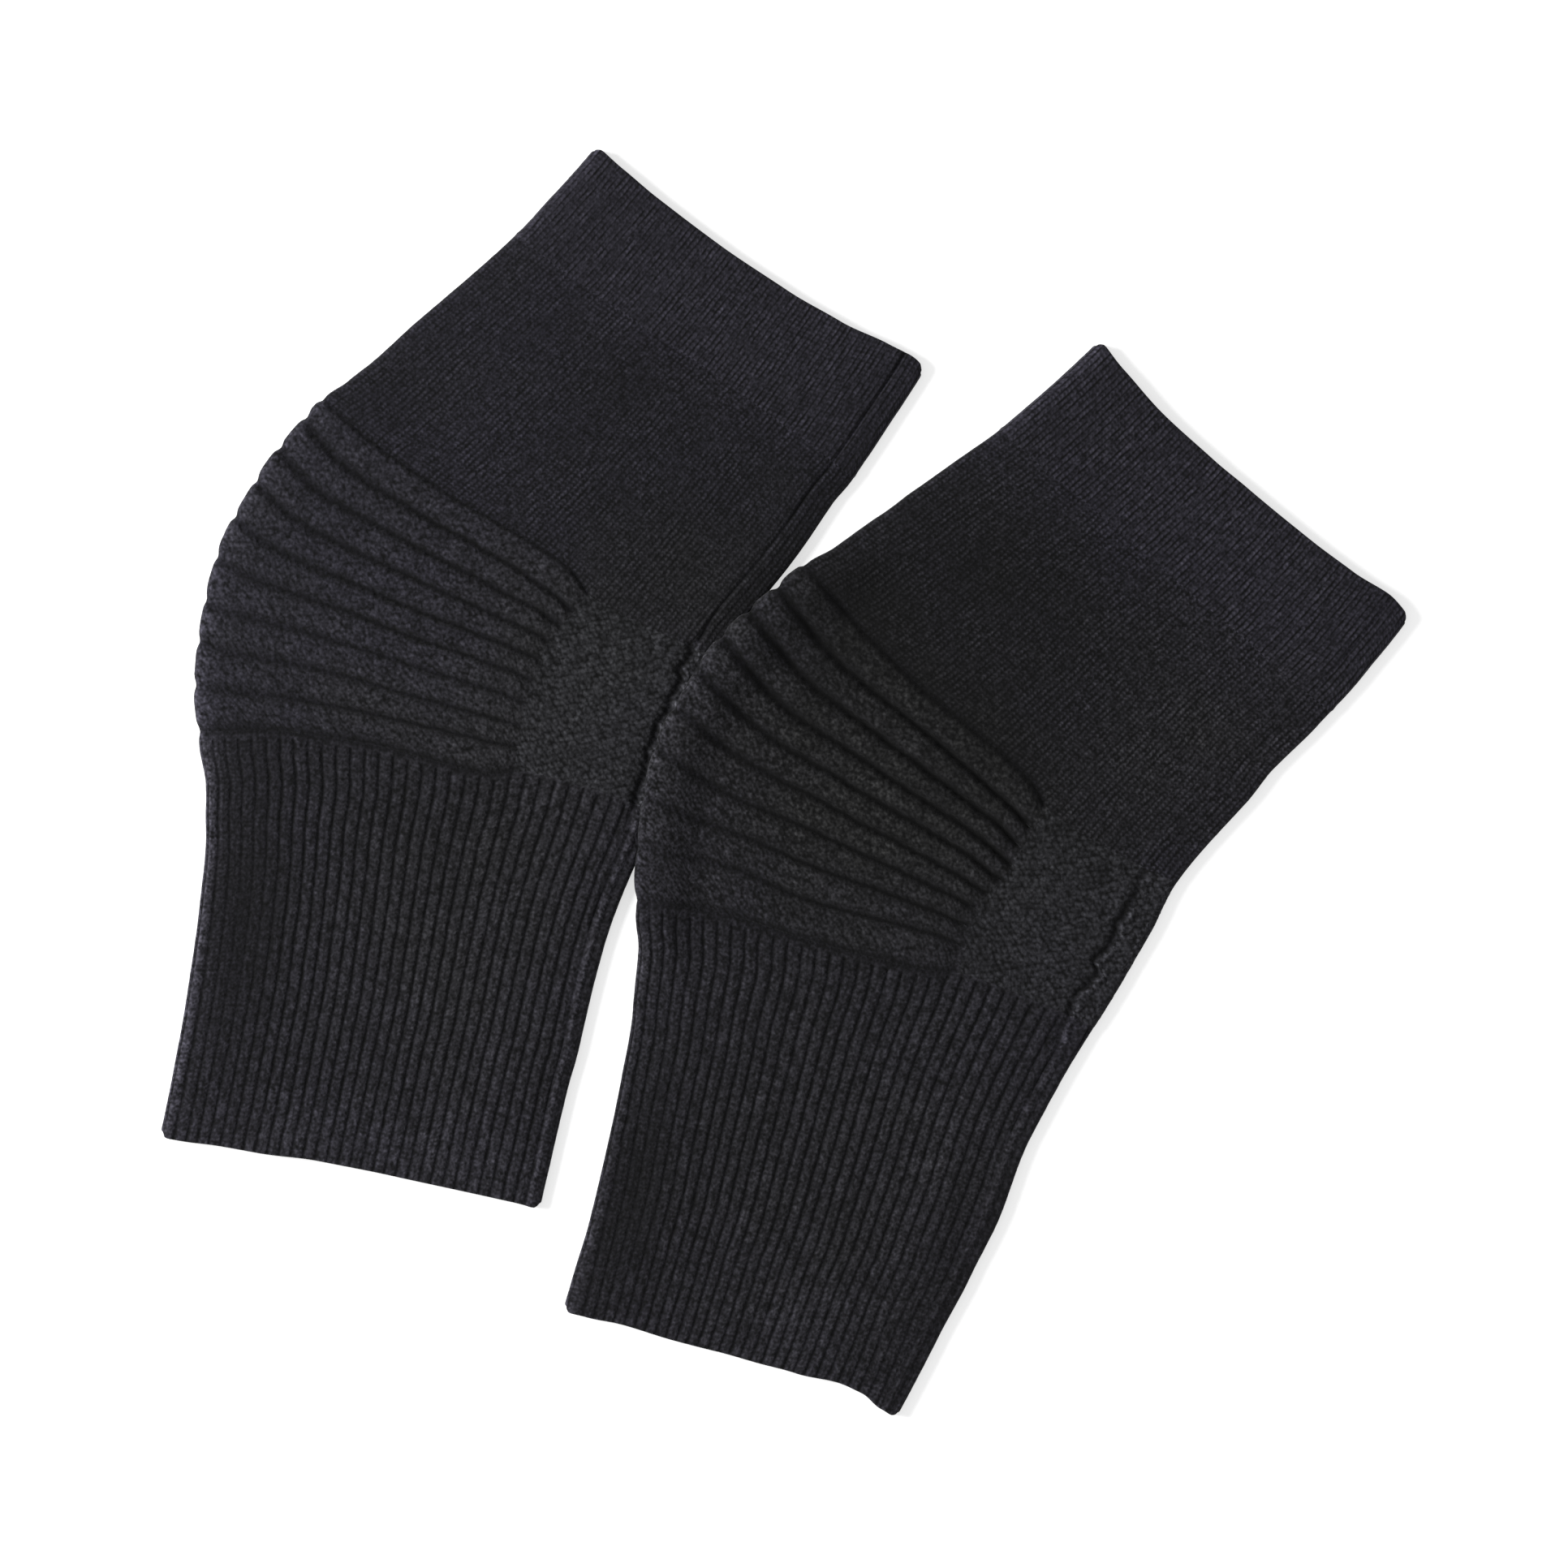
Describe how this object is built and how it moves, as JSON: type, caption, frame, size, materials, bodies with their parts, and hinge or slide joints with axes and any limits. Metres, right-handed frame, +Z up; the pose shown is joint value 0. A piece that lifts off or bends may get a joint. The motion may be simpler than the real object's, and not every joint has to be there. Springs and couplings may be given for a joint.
{
  "type": "pair of knee warmers",
  "caption": "Pair of dark knitted knee warmers laid flat: curved tubes with a ribbed calf, padded ridges over the knee, a moss-stitch gusset behind it and a smooth thigh cuff.",
  "frame": {"origin": "centre of the pair's footprint, on the surface that it lies on", "axes": "+Z up from that surface, the two layers of cloth stacked along it; +Y towards the thigh openings, the knees' front folds on the -X side"},
  "size_m": [0.4436, 0.4521, 0.0104],
  "materials": {
    "cuff_knit": "fine 1x1 rib knit in charcoal yarn, matt, slightly bluer and lighter than the rest",
    "jersey_knit": "plain jersey knit in charcoal heather yarn, matt, wales along the leg",
    "padded_knit": "thick padded purl knit in nine raised ridges, matt with a soft nap",
    "moss_knit": "moss-stitch knit in charcoal yarn, matt and pebbled",
    "rib_knit": "2x1 rib knit in charcoal yarn, matt, ribs along the leg about 4.5 mm apart"
  },
  "bodies": {
    "root": {"left_thigh_cuff": "cuff_knit", "left_thigh_panel": "jersey_knit", "left_knee_panel": "padded_knit", "left_gusset_upper": "moss_knit", "left_gusset_lower": "moss_knit", "left_calf_rib": "rib_knit", "right_thigh_cuff": "cuff_knit", "right_thigh_panel": "jersey_knit", "right_knee_panel": "padded_knit", "right_gusset_upper": "moss_knit", "right_gusset_lower": "moss_knit", "right_calf_rib": "rib_knit"}
  },
  "joints": []
}
